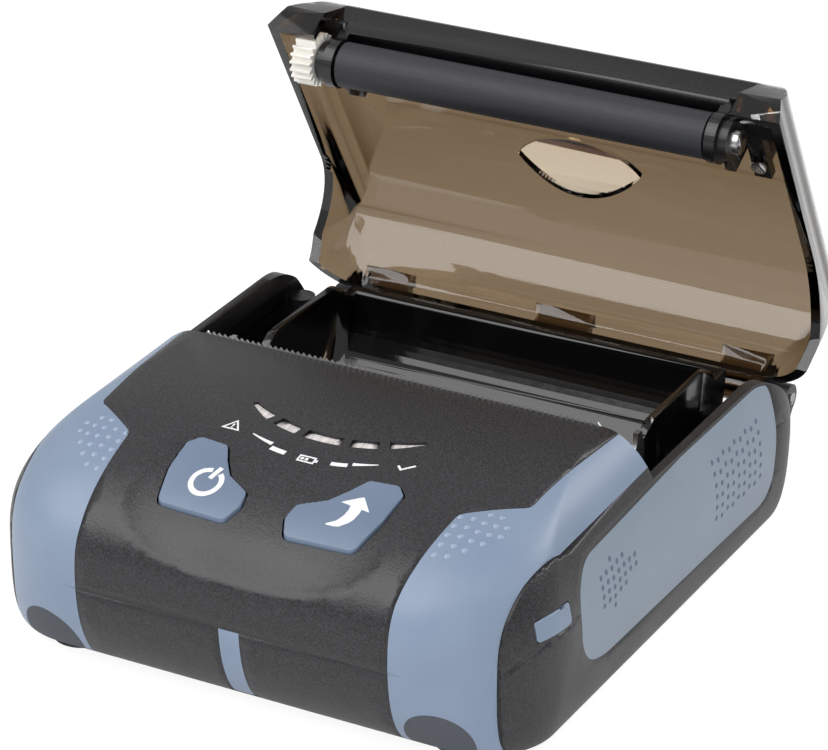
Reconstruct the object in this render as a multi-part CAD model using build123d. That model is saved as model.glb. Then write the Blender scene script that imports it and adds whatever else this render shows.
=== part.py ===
from build123d import *
import math
import os

# Portable receipt printer for 80 mm paper, with its cover open.
# Millimetres. X runs across the printer, Y from the control panel at the front to the
# hinge at the back, Z up. Everything is drawn with Y = 0 on the tear bar, and moved to the
# middle of the standing object when it is written.

# Driving dimensions of the body
tear_to_origin = 13.1      # tear bar to the middle of the open printer's footprint
tear_height = 42.0         # top of the body at the tear bar
body_half = 58.5           # half of the widest width
front_reach = 61.0         # tear bar to the foremost point of the front
rear_reach = 68.0          # tear bar to the rear wall
base_height = 0.8          # underside of the lower casing above the table
front_taper = 1.5          # how much narrower the body is at its front corners
rear_corner = 14.0
wall = 2.0                 # moulded casing wall
skin = 1.3                 # thickness of the coloured trims and pads let into the casings
parting_front = 18.5       # height of the split between the casings, at the front
parting_side = 24.0        # and along the sides
climb_start = -57.0        # the split climbs from here
climb_end = -44.0          # to here
beyond = 90.0              # a distance outside every piece, for cutting sheets

# The cover and its hinge
hinge_back = 72.0
hinge_height = 19.2
cover_opening = 60.0       # the cover stands open by this angle, degrees
cover_top = 51.0
cover_gap = 0.7            # gap between the cover's free edge and the body under it
cover_lip_back = 8.3       # front lip of the closed cover behind the tear bar
hinge_pin_radius = 1.25
hinge_barrel_radius = 2.9
running_gap = 0.05         # radial clearance of shafts and pins in their bores

# Paper bay
bay_half = 52.3            # half of the bay's width between the ears
ear_height = 33.8
ear_bend_start = 43.4      # where the ears' tops start to curve down
ear_rear = 62.0            # rear end of the ears
rear_wall_top = 17.0
bay_front = 1.6            # front of the bay, behind the tear bar's wall
paper_half = 40.7          # half of the paper width with its play
roll_radius = 21.5
roll_back = 38.0           # axis of the paper roll in the tray
roll_height = 28.0
tray_wall = 1.6

# Platen, as seen when the cover is closed
platen_back = 10.8
platen_height = 34.4
platen_rubber_radius = 4.6
platen_half = 40.0
platen_shaft_radius = 2.5
bushing_radius = 4.0

# The printing unit's width, from its tear bar outwards
tear_half = 43.0
bracket_half = tear_half - 0.4
side_plate_inner = tear_half + 0.6
side_plate_thickness = 1.0

# Gears, all of one module
gear_module = 0.5
gear_width = 4.6
gear_side = -side_plate_inner - side_plate_thickness - 0.6   # inner face of the gear train
platen_teeth = 20
drive_teeth = 20
idler_teeth = 24
pinion_teeth = 12

# Control panel
button_gap = 0.35
button_travel = 0.6
board_height = 23.2
board_thickness = 1.6

# Battery
battery_width = 64.5
battery_length = 39.0
battery_thickness = 13.5
battery_left = -23.0
battery_front = -39.5
battery_bottom = 3.4

# The body is widest at the waist. Above it the front draws in to a bull nose and the sides
# to soft shoulders, and below it both draw in to the flat underside.
waist_height = 20.0
front_corner = 23.0        # rounding of the front corners at the waist
nose_inset = 47.0          # how far the front draws in at the top
shoulder_inset = 13.5      # and each side
underside_front_inset = 10.0
underside_side_inset = 3.5
top_corner_loss = 13.0     # how much tighter the front corners are at the top
low_corner_loss = 10.0     # and at the underside
rising_levels = [0.26, 0.5, 0.707, 0.866, 0.95, 0.99, 1.0]
falling_levels = [1.0, 0.94, 0.766, 0.5, 0.25]

os.makedirs("parts", exist_ok=True)


def block(x0, x1, y0, y1, z0, z1):
    """A box between two corners."""
    middle = Pos((x0 + x1) / 2, (y0 + y1) / 2, (z0 + z1) / 2)
    return middle * Box(x1 - x0, y1 - y0, z1 - z0)


def rod(x0, x1, y, z, radius):
    """A round bar along X."""
    return Pos((x0 + x1) / 2, y, z) * Rot(0, 90, 0) * Cylinder(radius, x1 - x0)


def post(x, y, z0, z1, radius):
    """A round bar along Z."""
    return Pos(x, y, (z0 + z1) / 2) * Cylinder(radius, z1 - z0)


def side_sheet(outline, x0, x1):
    """An outline drawn in the side view, (Y, Z), pushed from x0 to x1."""
    return extrude(Plane.YZ.offset(x0) * make_face(outline), amount=x1 - x0)


def plan_sheet(outline, z0, z1):
    """An outline drawn in the plan view, (X, Y), pushed from z0 to z1."""
    return extrude(Plane.XY.offset(z0) * make_face(outline), amount=z1 - z0)


def front_sheet(outline, y0, y1):
    """An outline drawn in the front view, (X, Z), pushed from y0 to y1."""
    plane = Plane(origin=(0, y1, 0), x_dir=(1, 0, 0), z_dir=(0, -1, 0))
    return extrude(plane * make_face(outline), amount=y1 - y0)


def mirrored(shape):
    """The same piece on the other side."""
    return mirror(shape, about=Plane.YZ)


def level_outline(front, half, corner, rear, rear_round):
    """A level section of the body: a rounded rectangle, narrower at the front."""
    front_half = half - front_taper
    corners = [(-front_half, -front), (front_half, -front), (half, rear), (-half, rear)]
    radii = [corner, corner, rear_round, rear_round]
    return make_face(FilletPolyline(*corners, radius=radii, close=True))


def level_sizes():
    """Height, front inset, side inset and corner radius of each level of the body."""
    sizes = []
    for fall in falling_levels:
        height = waist_height - fall * (waist_height - base_height)
        front = underside_front_inset * (1 - math.sqrt(1 - fall ** 2))
        side = underside_side_inset * (1 - math.sqrt(1 - fall ** 2.5))
        sizes.append((height, front, side, front_corner - low_corner_loss * fall ** 2))
    sizes.append((waist_height, 0.0, 0.0, front_corner))
    for rise in rising_levels:
        height = waist_height + rise * (tear_height - waist_height)
        front = nose_inset * (1 - math.sqrt(1 - rise ** 3))
        side = shoulder_inset * (0.6 * rise ** 1.8 + 0.4 * (1 - math.sqrt(1 - rise ** 6)))
        sizes.append((height, front, side, front_corner - top_corner_loss * rise ** 2))
    return sizes


def body_form(inset=0.0):
    """The closed outer form of the body, or that form drawn in by an inset all round."""
    depth = tear_height - base_height
    squash = (depth - 2 * inset) / depth
    levels = []
    for height, front, side, corner in level_sizes():
        outline = level_outline(front_reach - front - inset, body_half - side - inset,
                                corner - inset, rear_reach - inset, rear_corner - inset)
        level = base_height + inset + (height - base_height) * squash
        levels.append(Plane.XY.offset(level) * outline)
    return loft(levels)


def above_parting():
    """Everything over the split between the casings, which climbs behind the front corner."""
    points = [(-beyond, parting_front), (climb_start, parting_front), (climb_end, parting_side),
              (beyond, parting_side), (beyond, beyond), (-beyond, beyond),
              (-beyond, parting_front)]
    return side_sheet(Polyline(*points), -beyond, beyond)


def ear_profile(rise=0.0):
    """Everything in front of the bay, and below the rounded top of the ears behind it."""
    top = ear_height + rise
    rear = ear_rear + rise
    bend_middle = (ear_bend_start + 0.66 * (rear - ear_bend_start),
                   rear_wall_top + 0.75 * (top - rear_wall_top))
    path = Polyline((bay_front, beyond), (bay_front, top), (ear_bend_start, top))
    bend = ThreePointArc((ear_bend_start, top), bend_middle, (rear, rear_wall_top))
    back = Polyline((rear, rear_wall_top), (beyond, rear_wall_top), (beyond, -beyond),
                    (-beyond, -beyond), (-beyond, beyond), (bay_front, beyond))
    return side_sheet(path + bend + back, -beyond, beyond)


def to_cover_pose(shape):
    """Turns a piece drawn on the closed cover to the open rest pose."""
    axis = Axis((0, hinge_back, hinge_height), (1, 0, 0))
    return shape.rotate(axis, -cover_opening)


def gear(teeth, x0, width, y, z, bore):
    """A spur gear with its axis along X: straight-sided teeth on a root disc."""
    pitch = teeth * gear_module / 2
    root = pitch - 1.2 * gear_module
    tip = pitch + 0.9 * gear_module
    step = 2 * math.pi / teeth
    points = []
    for tooth in range(teeth):
        middle = tooth * step
        for radius, share in ((root, -0.34), (tip, -0.13), (tip, 0.13), (root, 0.34)):
            angle = middle + share * step
            points.append((y + radius * math.cos(angle), z + radius * math.sin(angle)))
    points.append(points[0])
    return side_sheet(Polyline(*points), x0, x0 + width) - rod(x0 - 1, x0 + width + 1, y, z, bore)


# Shared forms
outer_form = body_form()
under_skin = body_form(skin)
inner_form = body_form(skin + wall)

# Regions of the coloured trims, drawn in the plan view
trim_inner = FilletPolyline((45.2, -25.0), (45.0, -30.7), (34.3, -37.9), (32.4, -58.0),
                            radius=2.4)
trim_path = (Polyline((32.4, -58.0), (32.4, -70), (50.3, -70), (50.3, -56.5), (51.2, -46.0),
                      (52.8, -35.0), (52.8, bay_front), (46.8, bay_front), (45.2, -25.0)))
trim_low = 2.6             # the trims end just over the underside
trim_region = plan_sheet(trim_inner + trim_path, trim_low, 60)
skin_shell = outer_form - under_skin

upper_side = above_parting()
trims = {}
for side in ("right", "left"):
    region = trim_region if side == "right" else mirrored(trim_region)
    trim = skin_shell & region & ear_profile()
    trims["trim_upper_" + side] = trim & upper_side
    trims["trim_lower_" + side] = trim - upper_side

# Side pads: long rounded slugs let into both casings
pad_line = FilletPolyline((-34.3, 13.2), (-24.0, 10.6), (49.0, 9.2), (51.0, 34.4), (43.0, 34.4),
                          (-34.3, 31.6), radius=[9.0, 20.0, 6.0, 4.0, 30.0, 9.0], close=True)
flank_low = body_half - 10.5   # what is let into a side wall is cut between these two
flank_high = body_half + 5.5
pad_region = side_sheet(pad_line, flank_low, flank_high)
pads = {}
for side in ("right", "left"):
    region = pad_region if side == "right" else mirrored(pad_region)
    pads["side_pad_" + side] = skin_shell & region & ear_profile(-0.5)

# Strip down the middle of the front
strip_half = 2.1
strip = skin_shell & block(-strip_half, strip_half, -80, -50, 3.0, parting_front)

# Port flap above the parting line, on the right, with a nail notch in its upper edge. Its ends
# stand square to its lower edge, which is the hinge and follows the body's curve.
port_middle = -42.6
port_half = 5.0
port_low = parting_side
port_high = 28.0
port_round = 0.8
port_play = 0.15
port_turn = 11.4
notch_front = -40.8
notch_rear = -39.4
notch_depth = 0.6
port_axis = Axis((body_half - 2.5, port_middle, 0), (0, 0, 1))
port_hinge_side = body_half - 2.0   # the hinge line touches the bulge of the body
port_hinge_height = 24.1
port_swing = 4.0           # nothing of the flap is farther than this from its hinge


def port_sheet(grow, notched):
    """The flap's outline, pushed through the side wall and turned along it."""
    front = port_middle - port_half - grow
    rear = port_middle + port_half + grow
    low = port_low - 0.6 * grow
    high = port_high + grow
    points = [(front, high), (front, low), (rear, low), (rear, high)]
    radii = [port_round] * 4
    if notched:
        points += [(notch_rear, high), (notch_rear, high - notch_depth),
                   (notch_front, high - notch_depth), (notch_front, high)]
        radii += [0.15] * 4
    outline = FilletPolyline(*points, radius=radii, close=True)
    return side_sheet(outline, flank_low, flank_high).rotate(port_axis, -port_turn)


port_clear = port_sheet(port_play, False)
port_reach = (Pos(port_hinge_side, port_middle, port_hinge_height) * Rot(0, 0, -port_turn)
              * Rot(90, 0, 0) * Cylinder(port_swing, 4 * port_half))
port_flap = skin_shell & port_sheet(0.0, True) & port_reach

for side in ("right", "left"):
    trims["trim_upper_" + side] -= pads["side_pad_" + side]

skins = list(trims.values()) + list(pads.values()) + [strip]

body_block = outer_form & ear_profile()
for piece in skins:
    body_block = body_block - piece

# Casings: the bay behind the tear bar is open to the top, the front holds the electronics
wall_front = bay_front - wall

bay_opening = block(-bay_half, bay_half, bay_front, 90, -10, 90)
upper_hollow = inner_form - block(-bay_half, bay_half, wall_front, bay_front, 0, 60)
upper_casing = (body_block & upper_side) - upper_hollow - bay_opening

# Window for the gears and side plates through the wall between the front and the bay
gear_window_top = 38.6
plate_slot = side_plate_inner - 0.6
for side in (-1, 1):
    near, far = sorted((side * plate_slot, side * (bay_half + 0.5)))
    upper_casing -= block(near, far, wall_front - 0.5, bay_front + 0.5, 20, gear_window_top)

# Cups for the print head's springs stand on the front of that wall
spring_spots = (-22.0, 22.0)
spring_height = 32.2
spring_radius = 2.1
spring_wire = 0.45
spring_end = -4.6          # front end of the springs
cup_wall = 1.0
cup_play = 0.6             # room for the springs as the head tilts
cup_floor = spring_end - cup_play
for x in spring_spots:
    cup = Pos(x, (cup_floor - cup_wall + bay_front) / 2, spring_height) * Rot(90, 0, 0)
    length = bay_front - cup_floor + cup_wall
    upper_casing += cup * Cylinder(spring_radius + cup_play + cup_wall, length)
for x in spring_spots:
    hole = Pos(x, (cup_floor + bay_front + 1) / 2, spring_height) * Rot(90, 0, 0)
    upper_casing -= hole * Cylinder(spring_radius + cup_play, bay_front + 1 - cup_floor)

# Shallow recess of the control panel: the form tipped down about a line behind the lamps. It
# runs out softly at a ridge with the shape of a smile.
recess_back = -30.0
recess_top = 41.0
recess_turn = 3.0
panel_half = 28.0          # half of the recess's width
panel_shoulder = 40.0      # above this height its sides run straight
panel_drop = 12.6          # from there to the bottom of the smile
panel_power = 2.3          # fullness of the smile's curve
ridge_rise = 1.5           # how fast the ridge climbs out of the recess
ridge_power = 10
ridge_ease = 0.3           # how it levels off outside
recess_half = 34.0
recess_columns = 34
recess_rows = 26
climb_low = math.radians(2.5)
climb_high = math.radians(80.0)
recessed_form = outer_form.rotate(Axis((0, recess_back, recess_top), (1, 0, 0)), recess_turn)


def recess_point(x, climb):
    """A point of the sunken face, by its place across and its angle of climb over the nose."""
    height = tear_height - waist_height
    y = nose_inset * (1 - math.cos(climb)) - front_reach
    z = waist_height + height * math.sin(climb) ** (2 / 3)
    along_y = nose_inset * math.sin(climb)
    along_z = height * (2 / 3) * math.cos(climb) / math.sin(climb) ** (1 / 3)
    length = math.hypot(along_y, along_z)
    out_y = -along_z / length
    out_z = along_y / length
    depth = math.radians(recess_turn) * (out_y * (z - recess_top) - out_z * (y - recess_back))
    across = (abs(x) / panel_half) ** panel_power
    down = (max(panel_shoulder - z, 0.0) / panel_drop) ** panel_power
    ridge = (across + down) ** (ridge_power / panel_power)
    depth -= ridge_rise * ridge / (1 + ridge_ease * ridge)
    return Vector(x, y - out_y * depth, z - out_z * depth)


recess_grid = []
for row in range(recess_rows + 1):
    climb = climb_low + (climb_high - climb_low) * row / recess_rows
    line = []
    for column in range(recess_columns + 1):
        line.append(recess_point(recess_half * (2 * column / recess_columns - 1), climb))
    recess_grid.append(line)
recess_face = Face.make_surface_from_array_of_points(recess_grid)
recess_cut = extrude(recess_face, amount=12, dir=(0, -1, 1))
upper_casing -= recess_cut

# Buttons: mirrored lobes with a flare towards the middle
button_points = [(4.6, -48.2), (5.2, -45.0), (10.2, -42.3), (12.8, -38.8), (14.8, -35.2),
                 (20.6, -34.6), (22.6, -36.8), (22.2, -44.0), (20.4, -51.2), (6.2, -51.6)]
button_radii = [1.2, 1.0, 2.5, 4.0, 1.4, 1.4, 1.4, 4.0, 1.6, 1.6]
button_middle = (15.4, -44.6)
button_rise = 0.55
flange_low = 30.2
flange_thickness = 0.9
flange_reach = 0.9
stem_radius = 2.0
switch_height = 3.4
switch_gap = 0.05


def button_outline(grow=0.0):
    line = FilletPolyline(*button_points, radius=button_radii, close=True)
    face = make_face(line)
    return offset(face, amount=grow, kind=Kind.ARC) if grow else face


def upright(face, z0, z1):
    return extrude(Plane.XY.offset(z0) * face, amount=z1 - z0)


raised_form = Pos(0, -0.2, button_rise) * recessed_form
board_top = board_height + board_thickness
stem_foot = board_top + switch_height + button_travel + switch_gap
cap = upright(button_outline(), flange_low, 60) & raised_form
flange = upright(button_outline(flange_reach), flange_low, flange_low + flange_thickness)
stem = post(button_middle[0], button_middle[1], stem_foot, flange_low + 0.5, stem_radius)
feed_button = cap + flange + stem
power_button = mirrored(feed_button)
button_hole = upright(button_outline(button_gap), 20, 60)
upper_casing = upper_casing - button_hole - mirrored(button_hole)

# Status windows: five light guides along an arc
window_centre = 3.0
window_radius = 29.0
window_depth = 2.6
window_sink = 0.5          # the guides end this far below the casing's face
window_spans = [(-38.6, -25.4, 0.9), (-21.6, -11.0, window_depth), (-7.6, 7.6, window_depth),
                (11.0, 21.6, window_depth), (25.4, 38.6, 0.9)]
guide_foot = 26.2
lamp_height = 0.8


def on_arc(angle, radius):
    """A point of the lamps' arc, the angle counted from straight ahead."""
    turn = math.radians(angle)
    return (radius * math.sin(turn), window_centre - radius * math.cos(turn))


def window_outline(start, end, tip, grow=0.0):
    """A slice of the arc, which narrows to tip at its outer end."""
    inner_end = window_depth / 2 + grow
    first = (tip if start < -25 else window_depth) / 2 + grow
    last = (tip if end > 25 else window_depth) / 2 + grow
    margin = math.degrees(grow / window_radius)
    start = start - margin
    end = end + margin
    middle = (start + end) / 2
    halfway = (first + last) / 2
    outer = ThreePointArc(on_arc(start, window_radius + first),
                          on_arc(middle, window_radius + halfway),
                          on_arc(end, window_radius + last))
    inner = ThreePointArc(on_arc(end, window_radius - last),
                          on_arc(middle, window_radius - halfway),
                          on_arc(start, window_radius - first))
    join_end = Line(on_arc(end, window_radius + last), on_arc(end, window_radius - last))
    join_start = Line(on_arc(start, window_radius - first), on_arc(start, window_radius + first))
    return outer + join_end + inner + join_start


status_windows = []
status_lamps = []
sunken_form = Pos(0, 0, -window_sink) * outer_form
for start, end, tip in window_spans:
    guide = plan_sheet(window_outline(start, end, tip), guide_foot, 60) & sunken_form
    status_windows.append(guide)
    upper_casing -= plan_sheet(window_outline(start, end, tip, 0.02), 20, 60)
    spot = on_arc((start + end) / 2, window_radius)
    status_lamps.append(block(spot[0] - 1.0, spot[0] + 1.0, spot[1] - 0.6, spot[1] + 0.6,
                              board_top, board_top + lamp_height))

# Casing screws: bosses hang from the upper casing and stand on posts of the lower one
boss_split = 17.0
boss_radius = 2.7
boss_spots = [(-50.0, -26.0), (50.0, -26.0), (-50.4, 54.0), (50.4, 54.0)]
screw_radius = 1.1
screw_head_radius = 2.2
screw_head_low = 4.6
screw_tip = 25.0
screws = []
for x, y in boss_spots:
    boss_top = 34.0 if y < 0 else 27.0
    upper_casing += post(x, y, boss_split, boss_top, boss_radius) & under_skin
    near, outward = sorted((x, 1.2 * x))
    upper_casing += block(near, outward, y - 1.0, y + 1.0, parting_side, boss_top) & under_skin
    screws.append(post(x, y, screw_head_low, screw_head_low + 1.4, screw_head_radius)
                  + post(x, y, screw_head_low + 1.0, screw_tip, screw_radius))
for x, y in boss_spots:
    upper_casing -= post(x, y, boss_split - 1, screw_tip + 1, screw_radius)

upper_casing -= port_clear

# Lower casing: a tub with the battery's box, posts, the rear wall and fixed hinge knuckles
lower_casing = (body_block - upper_side) - inner_form - block(-bay_half, bay_half, bay_front, 62,
                                                              parting_side - 6, 60)
floor_top = base_height + skin + wall
battery_right = battery_left + battery_width
battery_rear = battery_front + battery_length
battery_top = battery_bottom + battery_thickness
bay_play = 0.4
box_wall = 1.2
bx0 = battery_left - bay_play
bx1 = battery_right + bay_play
by0 = battery_front - bay_play
by1 = battery_rear + bay_play
bz1 = battery_top + bay_play
battery_box = block(bx0 - box_wall, bx1 + box_wall, by0 - box_wall, by1 + box_wall,
                    base_height + 1.0, bz1 + box_wall)
lower_casing += battery_box & under_skin
lower_casing -= block(bx0, bx1, by0, by1, -5, bz1)

battery_pack = block(battery_left, battery_right, battery_front, battery_rear,
                     base_height, battery_top)
battery_pack = battery_pack & body_form(0.0)

# Contacts between battery and board, through the rear wall of the battery's box
battery_contacts = []
for x in (28.0, 31.0, 34.0):
    blade = block(x - 0.6, x + 0.6, battery_rear, by1 + box_wall + 1.4, 8.0, 12.0)
    battery_contacts.append(blade)
    lower_casing -= block(x - 0.6, x + 0.6, battery_rear, by1 + box_wall, 8.0, 12.0)

# Battery latch: a thumb slide in the underside, whose tongue holds the pack
latch_half = 7.0
latch_front = by1 + 2.6
latch_length = 9.0
latch_travel = 2.5
latch_top = 3.0
tongue_half = 3.0
tongue_reach = 1.6
latch_play = 0.15
latch_rear = latch_front + latch_length
battery_latch = block(-latch_half, latch_half, latch_front, latch_rear, base_height + 0.2, latch_top)
for rib in range(4):
    y = latch_front + 2.4 + 1.4 * rib
    battery_latch -= block(-5.0, 5.0, y - 0.3, y + 0.3, 0, base_height + 0.7)
battery_latch += block(-tongue_half, tongue_half, battery_rear - tongue_reach, latch_front + 1,
                       base_height + 1.2, latch_top)
lower_casing -= block(-latch_half - latch_play, latch_half + latch_play,
                      latch_front - latch_play, latch_rear + latch_travel + latch_play,
                      -5, latch_top + latch_play)
lower_casing -= block(-tongue_half - latch_play, tongue_half + latch_play, by1 - 1,
                      latch_front + 1, base_height + 1.2 - latch_play, latch_top + latch_play)
battery_pack -= block(-tongue_half - latch_play, tongue_half + latch_play,
                      battery_rear - tongue_reach - latch_play, battery_rear + 1,
                      base_height + 1.2 - latch_play, latch_top + latch_play)

# Posts that carry the board, and the board's screws
board_post_radius = 2.2
board_hole = 0.9
board_posts = [(-40.0, -44.0, 3.0), (-40.0, -25.0, 3.0), (39.0, -35.0, bz1 + 0.5),
               (39.0, -19.0, bz1 + 0.5)]
board_screws = []
for x, y, foot in board_posts:
    lower_casing += post(x, y, foot, board_height, board_post_radius)
for x, y, foot in board_posts:
    lower_casing -= post(x, y, board_height - 4.5, board_height + 1, board_hole)
    board_screws.append(post(x, y, board_top, board_top + 1.2, 1.9)
                        + post(x, y, board_height - 4.0, board_top + 0.6, board_hole))

# Posts of the casing screws
for x, y in boss_spots:
    lower_casing += post(x, y, 2.4, boss_split, boss_radius + 0.4) & under_skin
for x, y in boss_spots:
    lower_casing -= post(x, y, -5, screw_head_low + 1.4, screw_head_radius + 0.2)
    lower_casing -= post(x, y, 2, boss_split + 1, screw_radius + 0.2)

# Hinge: fixed knuckles on the rear wall, moving ones on the cover, one pin through all
knuckle_gap = 0.4
fixed_knuckles = [(-52.0, -46.2), (-24.0, -14.0), (14.0, 24.0), (46.2, 52.0)]
moving_knuckles = [(-45.8, -36.0), (-6.0, 6.0), (36.0, 45.8)]
hinge_arm = Polyline((65.5, 12.5), (65.5, rear_wall_top), (68.5, rear_wall_top),
                     (70.4, 21.0), (74.0, 17.8), (72.4, 15.4), (68.0, 12.5), (65.5, 12.5))
for x0, x1 in fixed_knuckles:
    lower_casing += side_sheet(hinge_arm, x0, x1)
    lower_casing += rod(x0, x1, hinge_back, hinge_height, hinge_barrel_radius)
lower_casing -= rod(-60, 60, hinge_back, hinge_height, hinge_pin_radius + 0.02)
hinge_pin = rod(-52.4, 52.4, hinge_back, hinge_height, hinge_pin_radius)
lower_casing -= port_clear

# Feet: oval rubber bumpers on the front corners, round pads at the rear
foot_spots = {"front": (40.5, -46.5), "rear": (42.0, 50.0)}
foot_radius = 6.0
foot_socket = 1.4
feet = {}
for place, (x, y) in foot_spots.items():
    pad = post(x, y, 0.0, base_height + foot_socket, foot_radius)
    if place == "front":
        bumper = Pos(x, -52.0, 5.0) * Rot(90, 0, 0) * Cylinder(6.6, 24)
        rubber = outer_form - body_form(foot_socket)
        pad += rubber & bumper & block(0, 80, -80, -46, -5, 40)
    feet["foot_" + place + "_right"] = pad
    feet["foot_" + place + "_left"] = mirrored(pad)
for pad in feet.values():
    lower_casing -= pad
for side in ("right", "left"):
    trims["trim_lower_" + side] -= feet["foot_front_" + side]

# Paper tray: a trough round the roll, with closed ends
tray_half = paper_half + tray_wall
tray_rim = roll_height
tray_outside = roll_radius + tray_wall
trough = rod(-tray_half, tray_half, roll_back, roll_height, tray_outside)
trough = trough & block(-60, 60, 0, 90, 0, tray_rim)
ends = side_sheet(FilletPolyline((roll_back - tray_outside, 20.0), (roll_back + 21.0, 20.0),
                                 (roll_back + 16.0, tray_rim + 4.0),
                                 (roll_back - 13.0, tray_rim + 4.0),
                                 radius=[1.0, 1.0, 6.0, 6.0], close=True), -tray_half, tray_half)
tray_hollow = rod(-paper_half, paper_half, roll_back, roll_height, roll_radius)
tray_hollow += block(-paper_half, paper_half, roll_back - roll_radius, roll_back + roll_radius,
                     roll_height, 60)
lane = block(-paper_half, paper_half, 10, 70, tray_rim, 60)
paper_tray = trough + ends - tray_hollow - lane
tray_foot = block(-30, 30, roll_back - 8, roll_back + 8, floor_top, roll_height - roll_radius - 0.8)
paper_tray += tray_foot - rod(-60, 60, roll_back, roll_height, roll_radius + 0.5)
sensor_low = 21.0
sensor_height = 4.5
sensor_depth = 2.0
tray_front = roll_back - tray_outside
paper_sensor = block(18.0, 25.0, tray_front - sensor_depth, tray_front,
                     sensor_low, sensor_low + sensor_height)
sensor_rest = block(17.0, 26.0, tray_front, tray_front + 3.0, sensor_low - 1.0, tray_rim)
paper_tray += sensor_rest - tray_hollow

# Tear bar: a steel strip on the bay's side of the wall, with a toothed edge
tooth_pitch = 1.25
tooth_height = 0.7
tear_thickness = 0.5
tooth_count = int(2 * tear_half / tooth_pitch)
tear_points = [(-tear_half, 35.2), (tear_half, 35.2), (tear_half, tear_height - 0.2)]
for tooth in range(tooth_count):
    right = tear_half - tooth * tooth_pitch
    tear_points.append((right - tooth_pitch / 2, tear_height - 0.2 + tooth_height))
    tear_points.append((right - tooth_pitch, tear_height - 0.2))
tear_points.append((-tear_half, 35.2))
tear_bar = front_sheet(Polyline(*tear_points), bay_front, bay_front + tear_thickness)

# Print head on its pivoting bracket
head_pivot_back = 3.4
head_pivot_height = 22.0
head_pin_radius = 1.0
head_barrel_radius = 1.5
bracket_front = 3.0
bracket_thickness = 0.8
bracket_top = 38.0
head_half = 40.0
head_bracket = block(-bracket_half, bracket_half, bracket_front, bracket_front + bracket_thickness,
                     head_pivot_height, bracket_top)
head_bracket += rod(-bracket_half, bracket_half, head_pivot_back, head_pivot_height,
                    head_barrel_radius)
head_bracket -= rod(-beyond, beyond, head_pivot_back, head_pivot_height,
                    head_pin_radius + running_gap)
head_pin = rod(-side_plate_inner - side_plate_thickness, side_plate_inner + side_plate_thickness,
               head_pivot_back, head_pivot_height, head_pin_radius)
sink_rear = bracket_front + bracket_thickness + 1.6
heat_sink = block(-head_half, head_half, bracket_front + bracket_thickness, sink_rear, 27.0, 38.8)
print_head = block(-head_half, head_half, sink_rear, sink_rear + 0.5, 28.5, 38.0)
head_springs = []
for x in spring_spots:
    middle = (spring_end + bracket_front) / 2
    tube = Pos(x, middle, spring_height) * Rot(90, 0, 0)
    coil = Cylinder(spring_radius, bracket_front - spring_end)
    head_springs.append(tube * (coil - Cylinder(spring_radius - spring_wire, 20)))

# Gear train on the left side plate
motor_back = -12.8
motor_height = 22.3
motor_radius = 7.5
motor_length = 18.0
shaft_radius = 1.0
stub_radius = 1.5
idler_back = -4.5
idler_height = 18.8
drive_back = 4.3
drive_height = 25.5


def mesh_angle(y0, z0, y1, z1):
    return math.atan2(z1 - z0, y1 - y0)


def turned(shape, y, z, angle):
    return shape.rotate(Axis((0, y, z), (1, 0, 0)), math.degrees(angle))


gear_far = gear_side - gear_width
to_pinion = mesh_angle(idler_back, idler_height, motor_back, motor_height)
to_drive = mesh_angle(idler_back, idler_height, drive_back, drive_height)
idler_step = 2 * math.pi / idler_teeth
drive_step = 2 * math.pi / drive_teeth
pinion_step = 2 * math.pi / pinion_teeth
idler_lead = ((to_pinion - to_drive) / idler_step) % 1.0
idler_gear = gear(idler_teeth, gear_far, gear_width, idler_back, idler_height,
                  stub_radius + running_gap)
idler_gear = turned(idler_gear, idler_back, idler_height, to_pinion)
motor_pinion = gear(pinion_teeth, gear_far, gear_width, motor_back, motor_height, shaft_radius)
motor_pinion = turned(motor_pinion, motor_back, motor_height,
                      to_pinion + math.pi + pinion_step / 2)
drive_gear = gear(drive_teeth, gear_far, gear_width, drive_back, drive_height,
                  stub_radius + running_gap)
drive_gear = turned(drive_gear, drive_back, drive_height,
                    to_drive + math.pi + drive_step / 2 - idler_lead * drive_step)
motor_shaft = rod(gear_far - 0.6, -side_plate_inner + 3.0, motor_back, motor_height, shaft_radius)
stepper_motor = rod(-side_plate_inner, -side_plate_inner + motor_length, motor_back, motor_height,
                    motor_radius)
stepper_motor -= rod(-60, -side_plate_inner + 3.0, motor_back, motor_height,
                     shaft_radius + running_gap)

# Steel side plates with slots that catch the platen's bushings
slot_half = bushing_radius + 0.12
slot_rear_lip = platen_height + 0.4   # low, because the bushings come in on an arc from behind
plate_low = floor_top


def side_plate(with_motor):
    """The plate's side view: foot, nose that carries the motor, and the open slot."""
    points = [(-2.0, plate_low), (18.0, plate_low), (18.0, 31.5), (16.6, slot_rear_lip)]
    points += [(platen_back + slot_half, slot_rear_lip), (platen_back + slot_half, platen_height)]
    bottom = ThreePointArc((platen_back + slot_half, platen_height),
                           (platen_back, platen_height - slot_half),
                           (platen_back - slot_half, platen_height))
    points2 = [(platen_back - slot_half, platen_height), (platen_back - slot_half, 38.2),
               (2.4, 38.2), (2.4, 33.0)]
    if with_motor:
        points2 += [(-21.0, 33.0), (-21.0, 12.0), (-2.0, 12.0), (-2.0, plate_low)]
    else:
        points2 += [(-2.0, 29.0), (-2.0, plate_low)]
    outline = Polyline(*points) + bottom + Polyline(*points2)
    inner = side_plate_inner
    plate = side_sheet(outline, inner, inner + side_plate_thickness)
    plate -= rod(0, 60, head_pivot_back, head_pivot_height, head_pin_radius + 0.02)
    return plate


side_plate_right = side_plate(False)
side_plate_left = mirrored(side_plate(True))
side_plate_left -= rod(-60, 0, motor_back, motor_height, shaft_radius + 0.4)
gear_stubs = []
for y, z in ((idler_back, idler_height), (drive_back, drive_height)):
    side_plate_left -= rod(-60, 0, y, z, stub_radius)
    gear_stubs.append(rod(gear_far - 0.6, -side_plate_inner, y, z, stub_radius))

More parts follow.
